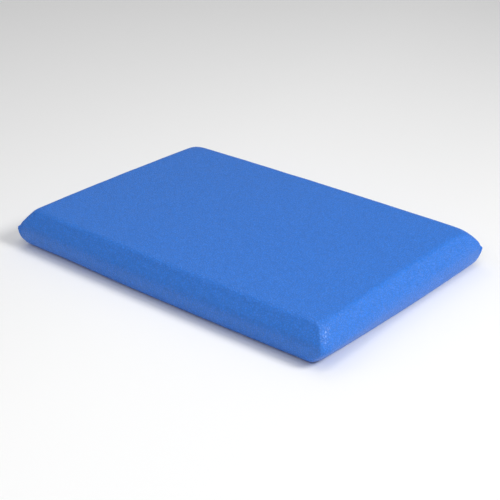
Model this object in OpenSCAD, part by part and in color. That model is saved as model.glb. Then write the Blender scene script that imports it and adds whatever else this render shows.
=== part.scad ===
// Foam block: one piece of foam in a grained skin, flat on top, with bevelled and rounded sides.
// It lies on its base, with the origin at the middle of the base and the long sides along X.

/* [Block] */
// Overall length, across the bowed short sides
block_length = 300; // [200:5:400]
// Overall width, across the bowed long sides
block_width = 209; // [140:1:280]
// Overall height, from the base to the top face
block_height = 31; // [28:1:45]
// Bulge of each long side at its middle
long_bow = 1.4; // [0.2:0.1:4]
// Bulge of each short side at its middle
short_bow = 1.4; // [0.2:0.1:4]

/* [Edge section] */
// Height above the base of the belt, the widest line round the sides
belt_height = 14; // [10:0.5:18]
// Radius of the rounding from the belt up into the bevel
belt_radius = 12; // [6:0.5:20]
// Lean of the straight bevel from upright, in degrees
bevel_lean = 35; // [25:1:45]
// Radius of the shoulder between the bevel and the top face
shoulder_radius = 6.5; // [4:0.5:14]
// How far the lower edge draws in, from the belt to the base
base_inset = 10.5; // [5:0.5:16]
// Fullness of the lower edge: 2 is a quarter of an ellipse, and more is squarer
base_fullness = 2.5; // [2:0.1:4]

/* [Corners] */
// Plan radius of each corner at the edge of the top face
top_corner_radius = 28; // [8:1:40]
// Plan radius of each corner at the belt
belt_corner_radius = 3; // [2:0.5:6]
// Plan radius of each corner at the edge of the base
base_corner_radius = 28; // [8:1:40]
// How late each corner opens out above the belt: 2 is early, and 4 keeps it tight all the way up the bevel
corner_delay = 4; // [2:0.5:6]

/* [Pleats] */
// How far the pinched pleat of skin stands out from each corner, at its ear
pleat_reach = 1.6; // [0.2:0.1:3]
// Width of the pleat where it leaves the corner
pleat_width = 3; // [2:0.5:5]
// Height of the ear, the top end of the pleat, above the base
ear_height = 15.5; // [12:0.5:20]
// Height above the ear over which the pleat dies away
ear_fade = 1.5; // [1:0.1:4]
// Height below the ear over which the pleat dies away
pleat_run = 7; // [3:0.5:10]

/* [Fineness] */
// Steps along each long side
long_steps = 14; // [4:1:30]
// Steps along each short side
short_steps = 10; // [4:1:30]
// Steps round each corner
corner_steps = 14; // [6:2:20]
// Steps up each rounding of the section
arc_steps = 10; // [4:1:14]

/* [Hidden] */
skin_blue = "#447ad2";

// Height of straight bevel that is always left between the two roundings of the side
least_bevel = 0.5;

// Half sizes of the belt at its corners, where the sides don't bulge
belt_half_x = block_length / 2 - short_bow;
belt_half_y = block_width / 2 - long_bow;

// The bevel takes up the height that its two roundings leave, and they shrink where the side is too low for them
upper_height = block_height - belt_height;
rounding_height = belt_radius * sin(bevel_lean) + shoulder_radius * (1 - sin(bevel_lean));
rounding_fit = min(1, (upper_height - least_bevel) / rounding_height);
belt_arc = belt_radius * rounding_fit;
shoulder_arc = shoulder_radius * rounding_fit;
bevel_rise = upper_height - rounding_height * rounding_fit;
bevel_end_inset = belt_arc * (1 - cos(bevel_lean)) + bevel_rise * tan(bevel_lean);
bevel_end_height = belt_height + belt_arc * sin(bevel_lean) + bevel_rise;
top_inset = bevel_end_inset + shoulder_arc * cos(bevel_lean);

// The section as levels of [inset from the belt, height above the base], from the base up
lower_edge = [
    for (i = [0 : arc_steps - 1])
    let (turn = 90 * i / arc_steps)
    [
        base_inset * (1 - pow(sin(turn), 2 / base_fullness)),
        belt_height * (1 - pow(cos(turn), 2 / base_fullness))
    ]
];
belt_rounding = [
    for (i = [0 : arc_steps])
    let (turn = bevel_lean * i / arc_steps)
    [belt_arc * (1 - cos(turn)), belt_height + belt_arc * sin(turn)]
];
shoulder = [
    for (i = [0 : arc_steps])
    let (turn = bevel_lean + (90 - bevel_lean) * i / arc_steps)
    [
        bevel_end_inset + shoulder_arc * (cos(bevel_lean) - cos(turn)),
        bevel_end_height + shoulder_arc * (sin(turn) - sin(bevel_lean))
    ]
];
levels = concat(lower_edge, belt_rounding, shoulder);

// Plan radius of the corners at a level: tight at the belt, opening out towards the base and over the shoulder
function corner_radius(inset, height) =
    height < belt_height
    ? belt_corner_radius + (base_corner_radius - belt_corner_radius) * pow(inset / base_inset, 2)
    : belt_corner_radius + (top_corner_radius - belt_corner_radius) * pow(inset / top_inset, corner_delay);

// How far the pleat stands out at a height, and at a distance round the corner from its middle
function pleat_rise(height) =
    pleat_reach * exp(-pow((height - ear_height) / (height > ear_height ? ear_fade : pleat_run), 2));
function pleat(away, height) =
    abs(away) < pleat_width / 2
    ? pleat_rise(height) * pow(cos(180 * away / pleat_width), 2)
    : 0;

// One long side between its corners, with its bulge
function long_side(half_x, half_y, radius) = [
    for (i = [1 : long_steps - 1])
    let (along = 2 * i / long_steps - 1)
    [along * (half_x - radius), -half_y - long_bow * (1 - along * along)]
];

// One short side between its corners, with its bulge
function short_side(half_x, half_y, radius) = [
    for (i = [1 : short_steps - 1])
    let (along = 2 * i / short_steps - 1)
    [half_x + short_bow * (1 - along * along), along * (half_y - radius)]
];

// One corner rounding about a centre, from a first bearing through a quarter turn, with its pleat
function corner(centre, bearing, radius, height) = [
    for (i = [0 : corner_steps])
    let (turn = 90 * i / corner_steps)
    let (away = radius * (turn - 45) * PI / 180)
    let (reach = radius + pleat(away, height))
    [centre.x + reach * cos(bearing + turn), centre.y + reach * sin(bearing + turn)]
];

// Half the outline of a level, which a half turn completes
function half_outline(half_x, half_y, radius, height) = concat(
    long_side(half_x, half_y, radius),
    corner([half_x - radius, radius - half_y], -90, radius, height),
    short_side(half_x, half_y, radius),
    corner([half_x - radius, half_y - radius], 0, radius, height)
);

function outline(inset, height) =
    let (half_x = belt_half_x - inset)
    let (half_y = belt_half_y - inset)
    let (half = half_outline(half_x, half_y, corner_radius(inset, height), height))
    [
        for (side = [1, -1], point = half)
        [side * point.x, side * point.y, height]
    ];

// The whole block, lofted through its levels and closed by the flat base and top
module foam_block() {
    rings = [for (level = levels) outline(level[0], level[1])];
    count = len(rings[0]);
    last = len(rings) - 1;
    points = [for (ring = rings, point = ring) point];
    base = [for (i = [0 : count - 1]) i];
    top = [for (i = [0 : count - 1]) last * count + count - 1 - i];
    walls = [
        for (ring = [0 : last - 1], i = [0 : count - 1])
        let (low = ring * count)
        let (high = low + count)
        let (next = (i + 1) % count)
        each [
            [low + i, high + next, low + next],
            [low + i, high + i, high + next]
        ]
    ];
    color(skin_blue)
    polyhedron(points = points, faces = concat([base, top], walls), convexity = 4);
}

foam_block();
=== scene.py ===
import math
import bpy
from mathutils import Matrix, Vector, noise


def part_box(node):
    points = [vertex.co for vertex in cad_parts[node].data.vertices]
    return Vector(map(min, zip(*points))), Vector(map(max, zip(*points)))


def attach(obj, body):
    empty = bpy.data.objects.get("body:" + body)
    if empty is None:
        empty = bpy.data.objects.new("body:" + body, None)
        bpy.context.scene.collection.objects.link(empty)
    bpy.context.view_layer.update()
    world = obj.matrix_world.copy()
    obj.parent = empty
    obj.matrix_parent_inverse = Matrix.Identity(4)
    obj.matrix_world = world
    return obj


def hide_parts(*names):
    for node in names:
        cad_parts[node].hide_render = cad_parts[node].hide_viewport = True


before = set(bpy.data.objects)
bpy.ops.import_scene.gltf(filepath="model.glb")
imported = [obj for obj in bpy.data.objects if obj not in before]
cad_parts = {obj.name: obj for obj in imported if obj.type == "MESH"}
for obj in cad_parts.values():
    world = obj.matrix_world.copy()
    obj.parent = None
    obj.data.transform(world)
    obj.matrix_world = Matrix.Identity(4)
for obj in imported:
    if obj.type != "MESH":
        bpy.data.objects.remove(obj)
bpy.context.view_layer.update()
blockLow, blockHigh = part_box("foam_block")
print("frame loaded, block is", [round(size, 4) for size in blockHigh - blockLow], "m")


def addObject(name, data):
    added = bpy.data.objects.new(name, data)
    bpy.context.scene.collection.objects.link(added)
    return added


def standBack(added, aim, values):
    # stands a camera or a lamp back from what it aims at
    turn = math.radians(values["bearing"])
    rise = math.radians(values["height"])
    flat = math.cos(rise)
    back = Vector((math.sin(turn) * flat, -math.cos(turn) * flat, math.sin(rise)))
    added.location = Vector(aim) + back * values["distance"]
    added.rotation_euler = (-back).to_track_quat("-Z", "Y").to_euler()


# camera

cameraSet = {
    "aim": (0.01796, -0.01664, 0.016),  # where the lens points, just in front of the middle
    "bearing": 40.46,       # degrees round from the long side, towards the short side
    "height": 25.61,        # degrees above the floor
    "distance": 0.94392,    # metres from the aim
    "lens": 89.63,          # millimetres, and so is the sensor's width
    "sensor": 36.0,
    "nearest": 0.01,        # metres from the lens at which the view starts
}


def makeCamera():
    data = bpy.data.cameras.new("camera")
    data.lens = cameraSet["lens"]
    data.sensor_width = cameraSet["sensor"]
    data.clip_start = cameraSet["nearest"]
    camera = addObject("camera", data)
    standBack(camera, cameraSet["aim"], cameraSet)
    bpy.context.scene.camera = camera


makeCamera()
print("camera placed")


# foam block, lofted in rings from the base to the middle of the top

block = {
    # section, in metres
    "longBow": 0.0014,          # bulge of the long sides
    "shortBow": 0.0014,         # bulge of the short sides
    "beltHeight": 0.014,        # widest line above the base
    "beltRadius": 0.012,        # rounding from the belt into the bevel
    "bevelLean": 35.0,          # degrees from upright
    "shoulderRadius": 0.0065,   # rounding from the bevel into the top
    "baseInset": 0.0108,        # how far the lower edge draws in
    "baseFullness": 2.5,        # 2 is elliptical, more is squarer
    "cornerDelay": 4,           # how late the corners open out above the belt

    # what is out of true on this block
    "skewNear": 0.0008,         # how far the +X bevel stands out at its near end
    "skewFar": 0.0012,          # and at its far end
    "pull": 0.0062,             # how far the near corner is pulled along X from the belt up
    "pullSpan": 0.070,          # how far along the short side the pull goes
    "pullShares": (0.6, 0.9),   # of the half length, where skew and pull start and are whole
    "tuck": 0.0036,             # how much further the base draws in on the near side, by the left corner
    "tuckPlace": 0.055,         # metres from the left corner
    "tuckSpan": 0.035,          # how far to each side of that place it goes
    "tuckShares": (0.5, 0.9),   # of the half width, where it starts and is whole

    # the near corner turns by so many degrees at its fold, then slowly, and then into the short side
    "sharpTurn": 55,
    "sharpLength": 0.0012,
    "slowTurn": 22,
    "slowLength": 0.0050,
    "lastLength": 0.0060,
    "beltTurn": 0.0035,         # how far from the other corners the belt starts to turn

    # for each corner, from the near one round by the right, far and left ones:
    # how far before and after the corner its outline starts to turn, at the top and at the base
    "topTurn": ((0.018, 0.014), (0.052, 0.046), (0.033, 0.033), (0.013, 0.045)),
    "baseTurn": ((0.038, 0.034), (0.033, 0.033), (0.033, 0.033), (0.033, 0.033)),
    "reach": (0.0002, 0.0016, 0.0016, 0.0017),        # how far the pinched skin stands out at the ear
    "earHeight": (0.0155, 0.0152, 0.0155, 0.0163),
    "ridge": (0.0001, 0.0002, 0.0002, 0.0001),        # how far it stands out along the bevel above the ear
    "run": (0.0080, 0.0052, 0.0080, 0.0080),          # how slowly it dies away below the ear
    "earFade": 0.0012,          # and how quickly above it
    "ridgeEnd": 0.0285,         # height at which the ridge is lost in the shoulder
    "ridgeFade": 0.006,         # height over which that happens
    "foldWidth": 0.0009,        # from the fold's crest to its flank
    "foldEnd": 6,               # fold widths from the crest at which it ends
    "creasePlace": 2,           # fold widths from the crest to the crease on each side
    "crease": 0.3,              # depth of the crease, as a share of the reach

    # slow swell of the skin over the foam: how high, and how far from one swell to the next
    "topWave": 0.00012,
    "topSpan": 0.045,
    "topNoise": (3.1, 7.7, 1.3),  # where in the noise the top's swell is taken
    "topSink": 0.5,             # how far the top sinks for it, as a share of the swell
    "topShare": 0.25,           # share of the height, from the top down, in which the sides' swell gives way
    "sideWave": 0.00018,
    "sideSpan": 0.030,
    "sideStart": 0.006,         # height at which the sides' swell is whole
    "rimWave": 0.0004,          # how far the line of the shoulder wanders
    "rimSpan": 0.024,
    "rimLevel": 0.05,           # where in the noise the wander is taken

    # fineness
    "longSteps": 130,
    "shortSteps": 90,
    "cornerSteps": 28,
    "fineSteps": 40,            # in each step of the near corner
    "foldCrowding": 1.6,        # more than 1 crowds the near corner's steps at its fold
    "arcSteps": 14,
    "bevelSteps": 8,
    "topSteps": 36,
    "topCrowding": 0.9,         # less than 1 crowds the top's rings at its middle
}

cornerSigns = ((1, -1), (1, 1), (-1, 1), (-1, -1))    # near, right, far and left


def ease(value):
    value = min(1.0, max(0.0, value))
    return value * value * (3 - 2 * value)


def easeBetween(value, shares):
    start, whole = shares
    return ease((value - start) / (whole - start))


def bell(away, span):
    return math.exp(-(away / span) ** 2)


def lowerLevels():
    # from the base up to the belt: inset, height, how far the corners have opened, rise of the bevel
    power = 2 / block["baseFullness"]
    levels = []
    for i in range(block["arcSteps"]):
        turn = math.pi / 2 * i / block["arcSteps"]
        closing = 1 - math.sin(turn) ** power
        height = block["beltHeight"] * (1 - math.cos(turn) ** power)
        levels.append((block["baseInset"] * closing, height, closing ** 2, 0.0))
    return levels


def upperLevels(topHeight):
    # from the belt up to the edge of the top, by the rounding, the bevel and the shoulder
    lean = math.radians(block["bevelLean"])
    belt = block["beltRadius"]
    shoulder = block["shoulderRadius"]
    startInset = belt * (1 - math.cos(lean))
    startHeight = block["beltHeight"] + belt * math.sin(lean)
    endHeight = topHeight - shoulder * (1 - math.sin(lean))
    endInset = startInset + (endHeight - startHeight) * math.tan(lean)
    topInset = endInset + shoulder * math.cos(lean)
    path = []
    for i in range(block["arcSteps"]):
        turn = lean * i / block["arcSteps"]
        path.append((belt * (1 - math.cos(turn)), block["beltHeight"] + belt * math.sin(turn)))
    for i in range(block["bevelSteps"]):
        share = i / block["bevelSteps"]
        inset = startInset + share * (endInset - startInset)
        path.append((inset, startHeight + share * (endHeight - startHeight)))
    for i in range(block["arcSteps"] + 1):
        turn = lean + (math.pi / 2 - lean) * i / block["arcSteps"]
        inset = topInset - shoulder * math.cos(turn)
        path.append((inset, topHeight - shoulder * (1 - math.sin(turn))))
    levels = []
    for inset, height in path:
        rise = inset / topInset
        levels.append((inset, height, rise ** block["cornerDelay"], rise))
    return levels


def foldRise(corner, away, height):
    # how far the fold at a corner lifts the skin, at a distance round from the corner's middle
    width = block["foldWidth"]
    if abs(away) > block["foldEnd"] * width:
        return 0.0
    above = height - block["earHeight"][corner]
    fade = block["earFade"] if above > 0 else block["run"][corner]
    reach = block["reach"][corner] * bell(above, fade)
    if above > 0:
        remaining = ease((block["ridgeEnd"] - height) / block["ridgeFade"])
        reach = max(reach, block["ridge"][corner] * remaining)
    crease = bell(abs(away) - block["creasePlace"] * width, width)
    return reach * (bell(away, width) - block["crease"] * crease)


def evenCurve(before, after):
    # a corner as steps along and across from its tip, rounded over a length before and after it
    points = []
    for i in range(block["cornerSteps"] + 1):
        share = i / block["cornerSteps"]
        points.append(Vector((-before * (1 - share) ** 2, after * share ** 2)))
    return points


def foldedCurve():
    # a corner that turns sharply at its fold and slowly after it, by the same steps
    sharp = block["sharpLength"]
    last = block["lastLength"]
    length = sharp + block["slowLength"] + last
    lastTurn = 90 - block["sharpTurn"] - block["slowTurn"]
    crowding = block["foldCrowding"]
    count = block["cornerSteps"] * block["fineSteps"]
    points = [Vector((0, 0))]
    for i in range(count):
        place = length * ((i + 0.5) / count) ** crowding
        stride = length * (((i + 1) / count) ** crowding - (i / count) ** crowding)
        slow = min(1.0, max(0.0, (place - sharp) / block["slowLength"]))
        turn = block["sharpTurn"] * ease(place / sharp) + block["slowTurn"] * slow
        turn += lastTurn * ease((place - length + last) / last)
        heading = math.radians(turn)
        step = Vector((math.cos(heading), math.sin(heading))) * stride
        if i % block["fineSteps"]:
            points[-1] += step
        else:
            points.append(points[-1] + step)
    return [point - Vector((points[-1].x, 0)) for point in points]


def placeCorner(corner, halfX, halfY, curve):
    # a corner's points, how far round each lies from the corner's middle, and the corner's directions
    bearing = math.pi / 2 * corner
    along = Vector((math.cos(bearing), math.sin(bearing)))
    across = Vector((-along.y, along.x))
    signX, signY = cornerSigns[corner]
    tip = Vector((signX * halfX, signY * halfY))
    points = [tip + along * step.x + across * step.y for step in curve]
    places = [0.0]
    for point, following in zip(points, points[1:]):
        places.append(places[-1] + (following - point).length)
    middle = min(range(1, len(points)), key=lambda i: abs(curve[i].x + curve[i].y))
    return points, [place - places[middle] for place in places], along, across


def ringPoints(halfX, halfY, curves, height):
    # one outline, from the near corner round, with more points near the corners
    corners = [placeCorner(corner, halfX, halfY, curve) for corner, curve in enumerate(curves)]
    ring = []
    for corner, (points, places, along, across) in enumerate(corners):
        nextCorner = (corner + 1) % len(corners)
        nextPoints, nextPlaces = corners[nextCorner][:2]
        for i, point in enumerate(points):
            turn = math.pi / 2 * i / block["cornerSteps"]
            outward = along * math.sin(turn) - across * math.cos(turn)
            ring.append(point + outward * foldRise(corner, places[i], height))
        path = nextPoints[0] - points[-1]
        side = "long" if corner % 2 else "short"    # a short side follows the near corner
        steps = block[side + "Steps"]
        for i in range(1, steps):
            share = 0.5 - 0.5 * math.cos(math.pi * i / steps)
            rise = foldRise(corner, places[-1] + path.length * share, height)
            rise += foldRise(nextCorner, nextPlaces[0] - path.length * (1 - share), height)
            bulge = 4 * block[side + "Bow"] * share * (1 - share)    # whole at the side's middle
            ring.append(points[-1] + path * share + along * (bulge + rise))
    return ring


def bendPoint(point, halfX, halfY, height, opening, rise):
    # moves a point of a ring by the +X side's skew, the near corner's pull and the base's tuck
    towardsNear = 0.5 - 0.5 * point.y / halfY
    skew = (block["skewFar"] + (block["skewNear"] - block["skewFar"]) * towardsNear) * rise
    pull = block["pull"] * ease(height / block["beltHeight"]) ** 2
    pull *= bell(point.y + halfY, block["pullSpan"])
    point.x += (skew + pull) * easeBetween(point.x / halfX, block["pullShares"])
    if rise == 0:
        tuck = block["tuck"] * math.sqrt(opening)
        tuck *= bell(point.x + halfX - block["tuckPlace"], block["tuckSpan"])
        point.y += tuck * easeBetween(-point.y / halfY, block["tuckShares"])
    return Vector((point.x, point.y, height))


def makeRings(size):
    halfX = size.x / 2 - block["shortBow"]
    halfY = size.y / 2 - block["longBow"]
    evenBelt = evenCurve(block["beltTurn"], block["beltTurn"])
    beltCurves = [foldedCurve(), evenBelt, evenBelt, evenBelt]
    topCurves = [evenCurve(before, after) for before, after in block["topTurn"]]
    baseCurves = [evenCurve(before, after) for before, after in block["baseTurn"]]
    rings = []
    for inset, height, opening, rise in lowerLevels() + upperLevels(size.z):
        curves = []
        for belt, end in zip(beltCurves, topCurves if rise > 0 else baseCurves):
            curves.append([low + (high - low) * opening for low, high in zip(belt, end)])
        ring = ringPoints(halfX - inset, halfY - inset, curves, height)
        rings.append([bendPoint(point, halfX, halfY, height, opening, rise) for point in ring])
    rim = rings[-1]
    for step in range(1, block["topSteps"]):
        share = 1 - (step / block["topSteps"]) ** block["topCrowding"]
        rings.append([Vector((point.x * share, point.y * share, point.z)) for point in rim])
    return rings


def swell(point, topHeight):
    # slow unevenness of the skin, none where the block rests on the floor
    inward = easeBetween(point.z / topHeight, (1 - block["topShare"], 1))
    lift = ease(point.z / block["sideStart"])
    side = noise.noise(point / block["sideSpan"]) * block["sideWave"] * lift * (1 - inward)
    rim = Vector((point.x, point.y, block["rimLevel"])) / block["rimSpan"]
    side += noise.noise(rim) * block["rimWave"] * inward
    top = noise.noise(point / block["topSpan"] + Vector(block["topNoise"])) - block["topSink"]
    flat = Vector((point.x, point.y, 0)).normalized()
    return point + flat * side + Vector((0, 0, top * block["topWave"] * inward))


def makeBlock():
    size = blockHigh - blockLow
    rings = makeRings(size)
    count = len(rings[0])
    vertices = [swell(point, size.z) for ring in rings for point in ring]
    faces = [tuple(reversed(range(count)))]    # the flat base
    for level in range(len(rings) - 1):
        low = level * count
        high = low + count
        for i in range(count):
            following = (i + 1) % count
            faces.append((low + i, low + following, high + following, high + i))
    centre = len(vertices)
    vertices.append(swell(Vector((0, 0, size.z)), size.z))
    last = centre - count
    for i in range(count):
        faces.append((last + i, last + (i + 1) % count, centre))
    mesh = bpy.data.meshes.new("foamBlock")
    mesh.from_pydata([tuple(vertex) for vertex in vertices], [], faces)
    mesh.validate()
    mesh.update()
    for face in mesh.polygons:
        face.use_smooth = len(face.vertices) < count    # all but the flat base
    return addObject("foamBlock", mesh)


foamBlock = makeBlock()
print("foam block lofted with", len(foamBlock.data.polygons), "faces")


# grained skin

skin = {
    "blue": (0.0285, 0.206, 0.774, 1),
    "paintedCreaseShade": (0.0228, 0.165, 0.620, 1),    # painted shade: a darker blue in the creases between the pebbles
    "pebbleSize": 0.0018,       # metres between pebbles
    "pebbleEdge": 0.30,         # how far a pebble slopes down to its crease, as a share of that
    "grainDepth": 0.00020,
    "bendScale": 0.6,           # bends in the rows of pebbles, for each pebble
    "bend": 0.0007,             # metres that they shift the pebbles
    "poreScale": 2.2,           # pores for each pebble
    "poreDepth": 0.5,           # as a share of the grain's depth
    "mottleSize": 0.0030,       # metres between the paler and darker patches
    "mottle": 0.08,             # how much paler and darker they are
    "mottleRange": (0.3, 0.7),  # noise at which they are darkest and palest
    "mottleRoughness": 0.6,
    "mottleDepth": 0.00035,
    "roughness": (0.29, 0.42),  # on the pebbles and between them
    "specular": 0.41,
}


def addNode(tree, kind, fixed, linked, **settings):
    # one shader node, with its settings, its fixed inputs and the outputs that its other inputs take
    node = tree.nodes.new("ShaderNode" + kind)
    for name, value in settings.items():
        setattr(node, name, value)
    for name, value in fixed.items():
        node.inputs[name].default_value = value
    for name, output in linked.items():
        tree.links.new(output, node.inputs[name])
    return node


def addNoise(tree, place, scale, detail, roughness=0.5):
    fixed = {"Scale": scale, "Detail": detail, "Roughness": roughness}
    return addNode(tree, "TexNoise", fixed, {"Vector": place})


def addRange(tree, value, fromRange, toRange, smooth=False):
    fixed = {"From Min": fromRange[0], "From Max": fromRange[1], "To Min": toRange[0], "To Max": toRange[1]}
    kind = "SMOOTHSTEP" if smooth else "LINEAR"
    return addNode(tree, "MapRange", fixed, {"Value": value}, interpolation_type=kind).outputs["Result"]


def addOnto(tree, base, value, factor):
    # a base, with a share of a value added to it
    node = addNode(tree, "Math", {1: factor}, {0: value, 2: base}, operation="MULTIPLY_ADD")
    return node.outputs["Value"]


def addMix(tree, share, first, second):
    node = addNode(tree, "Mix", {"A": first, "B": second}, {"Factor": share}, data_type="RGBA")
    return node.outputs["Result"]


def newMaterial(name):
    material = bpy.data.materials.new(name)
    material.use_nodes = True
    tree = material.node_tree
    return material, tree, tree.nodes["Principled BSDF"]


def makeSkin():
    material, tree, shader = newMaterial("grainedSkin")
    place = addNode(tree, "TexCoord", {}, {}).outputs["Object"]
    perMetre = 1 / skin["pebbleSize"]

    # pebbles in bent rows, with finer pores
    bends = addNoise(tree, place, skin["bendScale"] * perMetre, detail=2)
    fixed = {1: (skin["bend"], skin["bend"], skin["bend"])}
    linked = {0: bends.outputs["Color"], 2: place}
    bent = addNode(tree, "VectorMath", fixed, linked, operation="MULTIPLY_ADD")
    linked = {"Vector": bent.outputs["Vector"]}
    pebbles = addNode(tree, "TexVoronoi", {"Scale": perMetre}, linked, feature="DISTANCE_TO_EDGE")
    dome = addRange(tree, pebbles.outputs["Distance"], (0, skin["pebbleEdge"]), (0, 1), smooth=True)
    pores = addNoise(tree, place, skin["poreScale"] * perMetre, detail=3)
    grain = addOnto(tree, dome, pores.outputs["Fac"], skin["poreDepth"])

    # patches that are paler, darker, higher and lower
    mottle = addNoise(tree, place, 1 / skin["mottleSize"], detail=3, roughness=skin["mottleRoughness"])
    patches = mottle.outputs["Fac"]
    height = addOnto(tree, grain, patches, skin["mottleDepth"] / skin["grainDepth"])
    bump = addNode(tree, "Bump", {"Distance": skin["grainDepth"], "Strength": 1.0}, {"Height": height})
    paleness = addRange(tree, patches, skin["mottleRange"], (1 - skin["mottle"], 1 + skin["mottle"]))
    # the pebbles' blue, darkened by painted shade in the creases between them
    blue = addMix(tree, dome, skin["paintedCreaseShade"], skin["blue"])
    tint = addNode(tree, "HueSaturation", {}, {"Value": paleness, "Color": blue})
    smooth, rough = skin["roughness"]
    roughness = addRange(tree, dome, (0, 1), (rough, smooth))

    tree.links.new(tint.outputs["Color"], shader.inputs["Base Color"])
    tree.links.new(roughness, shader.inputs["Roughness"])
    tree.links.new(bump.outputs["Normal"], shader.inputs["Normal"])
    shader.inputs["Specular IOR Level"].default_value = skin["specular"]
    return material


foamBlock.data.materials.append(makeSkin())
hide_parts("foam_block")
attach(foamBlock, "root")
print("skin applied")


# floor and lights

floorSet = {
    "size": 8.0,
    "white": (0.965, 0.965, 0.965, 1),
    "shadedGrey": (0.91, 0.91, 0.91, 1),    # painted shade: greyer on the key lamp's side, taking down the key's light there
    "shadeAlong": (0.93, 0.36, 0),     # direction from white to the painted shade
    "fade": (-0.08, 0.18),            # metres from the middle at which the painted shade starts and ends
    "roughness": 0.9,
    "specular": 0.0,
}

lamps = {
    # bearing and height in degrees, distance and size in metres, power in watts
    "key": {"bearing": 102, "height": 40, "distance": 1.6, "size": 0.5, "power": 14.9},
    "above": {"bearing": 55, "height": 73, "distance": 0.87, "size": 0.5, "power": 1.45},
    "front": {"bearing": 28, "height": 40, "distance": 1.2, "size": 0.6, "power": 1.7},
    "left": {"bearing": 318, "height": 34, "distance": 1.6, "size": 0.8, "power": 1.4},
    "back": {"bearing": 220, "height": 38, "distance": 1.6, "size": 0.8, "power": 0.5},
    "backTop": {"bearing": 240, "height": 60, "distance": 1.6, "size": 0.8, "power": 2.4},
}

worldSet = {"colour": (1, 1, 1, 1), "strength": 0.265}


def makeFloor():
    half = floorSet["size"] / 2
    corners = [(-half, -half, 0), (half, -half, 0), (half, half, 0), (-half, half, 0)]
    mesh = bpy.data.meshes.new("floor")
    mesh.from_pydata(corners, [], [(0, 1, 2, 3)])
    material, tree, shader = newMaterial("paleFloor")
    place = addNode(tree, "TexCoord", {}, {}).outputs["Object"]
    # painted shade: the floor's white greys towards the key lamp's side
    along = addNode(tree, "VectorMath", {1: floorSet["shadeAlong"]}, {0: place}, operation="DOT_PRODUCT")
    fade = addRange(tree, along.outputs["Value"], floorSet["fade"], (0, 1), smooth=True)
    shadedTone = addMix(tree, fade, floorSet["white"], floorSet["shadedGrey"])
    tree.links.new(shadedTone, shader.inputs["Base Color"])
    shader.inputs["Roughness"].default_value = floorSet["roughness"]
    shader.inputs["Specular IOR Level"].default_value = floorSet["specular"]
    mesh.materials.append(material)
    addObject("floor", mesh)


def makeLamp(name, values):
    data = bpy.data.lights.new(name, "AREA")
    data.shape = "DISK"
    data.size = values["size"]
    data.energy = values["power"]
    standBack(addObject(name, data), (0, 0, 0), values)


def makeWorld():
    world = bpy.data.worlds.new("studio")
    bpy.context.scene.world = world
    world.use_nodes = True
    background = world.node_tree.nodes["Background"]
    background.inputs["Color"].default_value = worldSet["colour"]
    background.inputs["Strength"].default_value = worldSet["strength"]


makeFloor()
for lampName, lampValues in lamps.items():
    makeLamp(lampName, lampValues)
makeWorld()
bpy.context.scene.view_settings.view_transform = "Standard"
print("floor and lamps placed")
